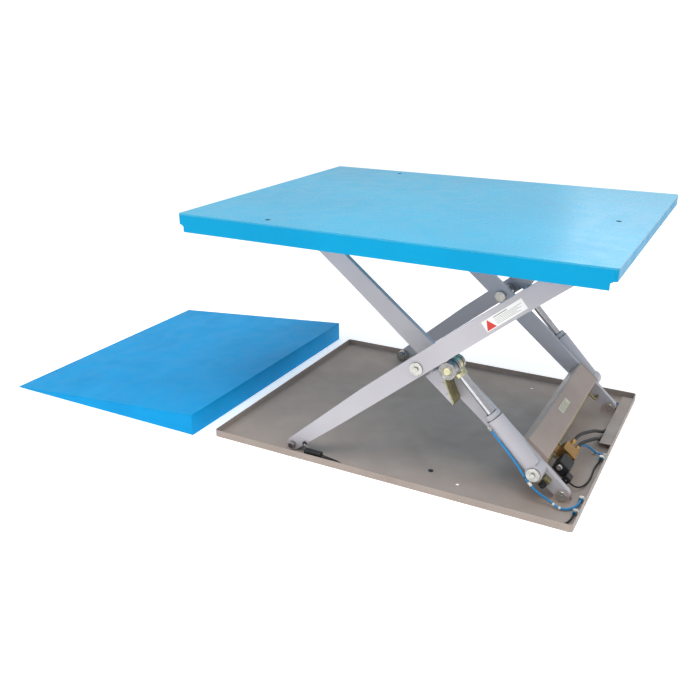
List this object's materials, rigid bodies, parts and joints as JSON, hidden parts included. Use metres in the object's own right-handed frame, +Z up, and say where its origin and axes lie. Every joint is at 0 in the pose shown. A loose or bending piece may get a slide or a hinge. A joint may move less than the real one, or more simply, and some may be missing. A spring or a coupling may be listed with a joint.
{
  "type": "scissor lift table",
  "caption": "Ultra-low electro-hydraulic scissor lift table with a flat deck, crossed arms driven by two wedge-roller rams, a base tray and a separate drive-up ramp.",
  "frame": {"origin": "on the floor, under the middle of the base tray", "axes": "+X along the table from the ramp to the hose end, +Y across it to the far side, +Z up"},
  "size_m": [2.397, 1.146, 0.845],
  "materials": {
    "deck_blue": "semi-gloss powder coat",
    "arm_grey": "satin powder coat",
    "tray_grey": "satin powder coat",
    "box_grey": "satin powder coat",
    "bare_steel": "turned steel",
    "zinc_steel": "zinc plated",
    "olive_zinc": "yellow passivated zinc",
    "bronze": "plain bearing bronze",
    "rod_chrome": "hard chrome",
    "manifold_brass": "machined",
    "black_plastic": "moulded",
    "black_steel": "black oxide",
    "hose_rubber": "smooth hose cover",
    "blue_tube": "polyurethane tube",
    "cable_black": "cable sheath"
  },
  "bodies": {
    "base": {"base_tray": "tray_grey", "rim_cover": "tray_grey", "pivot_brackets": "tray_grey", "pivot_pins": "zinc_steel", "tray_bolt": "zinc_steel", "rim_fittings": "zinc_steel", "limit_switch": "black_plastic", "bleed_loops": "blue_tube", "pressure_hoses": "hose_rubber", "return_tube": "blue_tube", "valve_cable": "cable_black", "switch_cable": "cable_black"},
    "limit_lever": {"limit_lever": "black_plastic"},
    "inner_arms": {"inner_arm_near": "arm_grey", "inner_arm_far": "arm_grey", "torsion_box": "box_grey", "lower_cams": "arm_grey", "cam_plates": "bare_steel", "cam_screws": "zinc_steel", "foot_pins": "zinc_steel", "centre_pins": "zinc_steel", "deck_axles": "zinc_steel", "manifold_block": "manifold_brass", "solenoid_valve": "black_plastic", "steel_pipes": "olive_zinc", "pipe_unions": "manifold_brass", "fuse_blocks": "black_steel"},
    "outer_arms": {"outer_arm_near": "arm_grey", "outer_arm_far": "arm_grey", "upper_cams": "arm_grey", "centre_bushes": "bronze", "base_axles": "zinc_steel"},
    "platform": {"deck_plate": "deck_blue", "lifting_inserts": "zinc_steel", "deck_skirts": "deck_blue", "deck_stiffeners": "tray_grey", "deck_brackets": "tray_grey", "deck_pins": "zinc_steel"},
    "ramp": {"ramp_plate": "deck_blue", "ramp_frame": "deck_blue"},
    "cylinder_near": {"barrel_near": "arm_grey", "gland_near": "arm_grey", "bleed_tube_near": "blue_tube", "tube_collar_near": "black_plastic"},
    "ram_near": {"ram_rod_near": "rod_chrome", "ram_head_near": "olive_zinc"},
    "lower_rollers_near": {"lower_rollers_near": "bare_steel"},
    "upper_roller_near": {"upper_roller_near": "bare_steel"},
    "base_roller_near": {"base_roller_near": "bare_steel"},
    "deck_roller_near": {"deck_roller_near": "bare_steel"},
    "cylinder_far": {"barrel_far": "arm_grey", "gland_far": "arm_grey", "bleed_tube_far": "blue_tube", "tube_collar_far": "black_plastic"},
    "ram_far": {"ram_rod_far": "rod_chrome", "ram_head_far": "olive_zinc"},
    "lower_rollers_far": {"lower_rollers_far": "bare_steel"},
    "upper_roller_far": {"upper_roller_far": "bare_steel"},
    "base_roller_far": {"base_roller_far": "bare_steel"},
    "deck_roller_far": {"deck_roller_far": "bare_steel"}
  },
  "joints": [
    {"name": "scissor_lift", "type": "hinge", "parent": "base", "child": "inner_arms", "pos_m": [0.597, 0, 0.028], "axis": [0, 1, 0], "range_deg": [-38.54, 0.91], "deforming": ["bleed_loops", "pressure_hoses", "return_tube", "valve_cable"]},
    {"name": "centre_pivot", "type": "hinge", "parent": "inner_arms", "child": "outer_arms", "pos_m": [0.12324, 0, 0.417], "axis": [0, 1, 0], "range_deg": [-1.84, 77.1]},
    {"name": "deck_pivot", "type": "hinge", "parent": "outer_arms", "child": "platform", "pos_m": [0.597, 0, 0.806], "axis": [0, 1, 0], "range_deg": [-38.56, 0.93]},
    {"name": "limit_lever_swing", "type": "hinge", "parent": "base", "child": "limit_lever", "pos_m": [-0.274, -0.508, 0.028], "axis": [0, 1, 0], "range_deg": [0, 30], "stiffness_Nm_per_rad": 0.3},
    {"name": "ramp_slide", "type": "slide", "parent": "base", "child": "ramp", "axis": [1, 0, 0], "range_m": [-0.4, 0]},
    {"name": "cylinder_tilt_near", "type": "hinge", "parent": "inner_arms", "child": "cylinder_near", "pos_m": [0.51165, -0.41, 0.10843], "axis": [0, 1, 0], "range_deg": [-7.7, 0.2]},
    {"name": "ram_stroke_near", "type": "slide", "parent": "cylinder_near", "child": "ram_near", "axis": [-0.6875, 0, 0.7262], "range_m": [-0.11178, 0.00283]},
    {"name": "lower_rollers_spin_near", "type": "hinge", "parent": "ram_near", "child": "lower_rollers_near", "pos_m": [0.21837, -0.41, 0.41823], "axis": [0, 1, 0], "continuous": true},
    {"name": "upper_roller_spin_near", "type": "hinge", "parent": "ram_near", "child": "upper_roller_near", "pos_m": [0.21837, -0.41, 0.41823], "axis": [0, 1, 0], "continuous": true},
    {"name": "base_roller_spin_near", "type": "hinge", "parent": "outer_arms", "child": "base_roller_near", "pos_m": [-0.35052, -0.4592, 0.028], "axis": [0, 1, 0], "continuous": true},
    {"name": "deck_roller_spin_near", "type": "hinge", "parent": "inner_arms", "child": "deck_roller_near", "pos_m": [-0.35052, -0.3444, 0.806], "axis": [0, 1, 0], "continuous": true},
    {"name": "cylinder_tilt_far", "type": "hinge", "parent": "inner_arms", "child": "cylinder_far", "pos_m": [0.51165, 0.41, 0.10843], "axis": [0, 1, 0], "range_deg": [-7.7, 0.2]},
    {"name": "ram_stroke_far", "type": "slide", "parent": "cylinder_far", "child": "ram_far", "axis": [-0.6875, 0, 0.7262], "range_m": [-0.11178, 0.00283]},
    {"name": "lower_rollers_spin_far", "type": "hinge", "parent": "ram_far", "child": "lower_rollers_far", "pos_m": [0.21837, 0.41, 0.41823], "axis": [0, 1, 0], "continuous": true},
    {"name": "upper_roller_spin_far", "type": "hinge", "parent": "ram_far", "child": "upper_roller_far", "pos_m": [0.21837, 0.41, 0.41823], "axis": [0, 1, 0], "continuous": true},
    {"name": "base_roller_spin_far", "type": "hinge", "parent": "outer_arms", "child": "base_roller_far", "pos_m": [-0.35052, 0.4592, 0.028], "axis": [0, 1, 0], "continuous": true},
    {"name": "deck_roller_spin_far", "type": "hinge", "parent": "inner_arms", "child": "deck_roller_far", "pos_m": [-0.35052, 0.3444, 0.806], "axis": [0, 1, 0], "continuous": true}
  ],
  "couplings": [
    {"joint": "centre_pivot", "follows": "scissor_lift", "ratio": -2},
    {"joint": "deck_pivot", "follows": "scissor_lift", "ratio": 1},
    {"joint": "cylinder_tilt_near", "follows": "scissor_lift", "ratio": 0.19923},
    {"joint": "ram_stroke_near", "follows": "scissor_lift", "m_per_rad": 0.16588},
    {"joint": "cylinder_tilt_far", "follows": "scissor_lift", "ratio": 0.19923},
    {"joint": "ram_stroke_far", "follows": "scissor_lift", "m_per_rad": 0.16588}
  ]
}
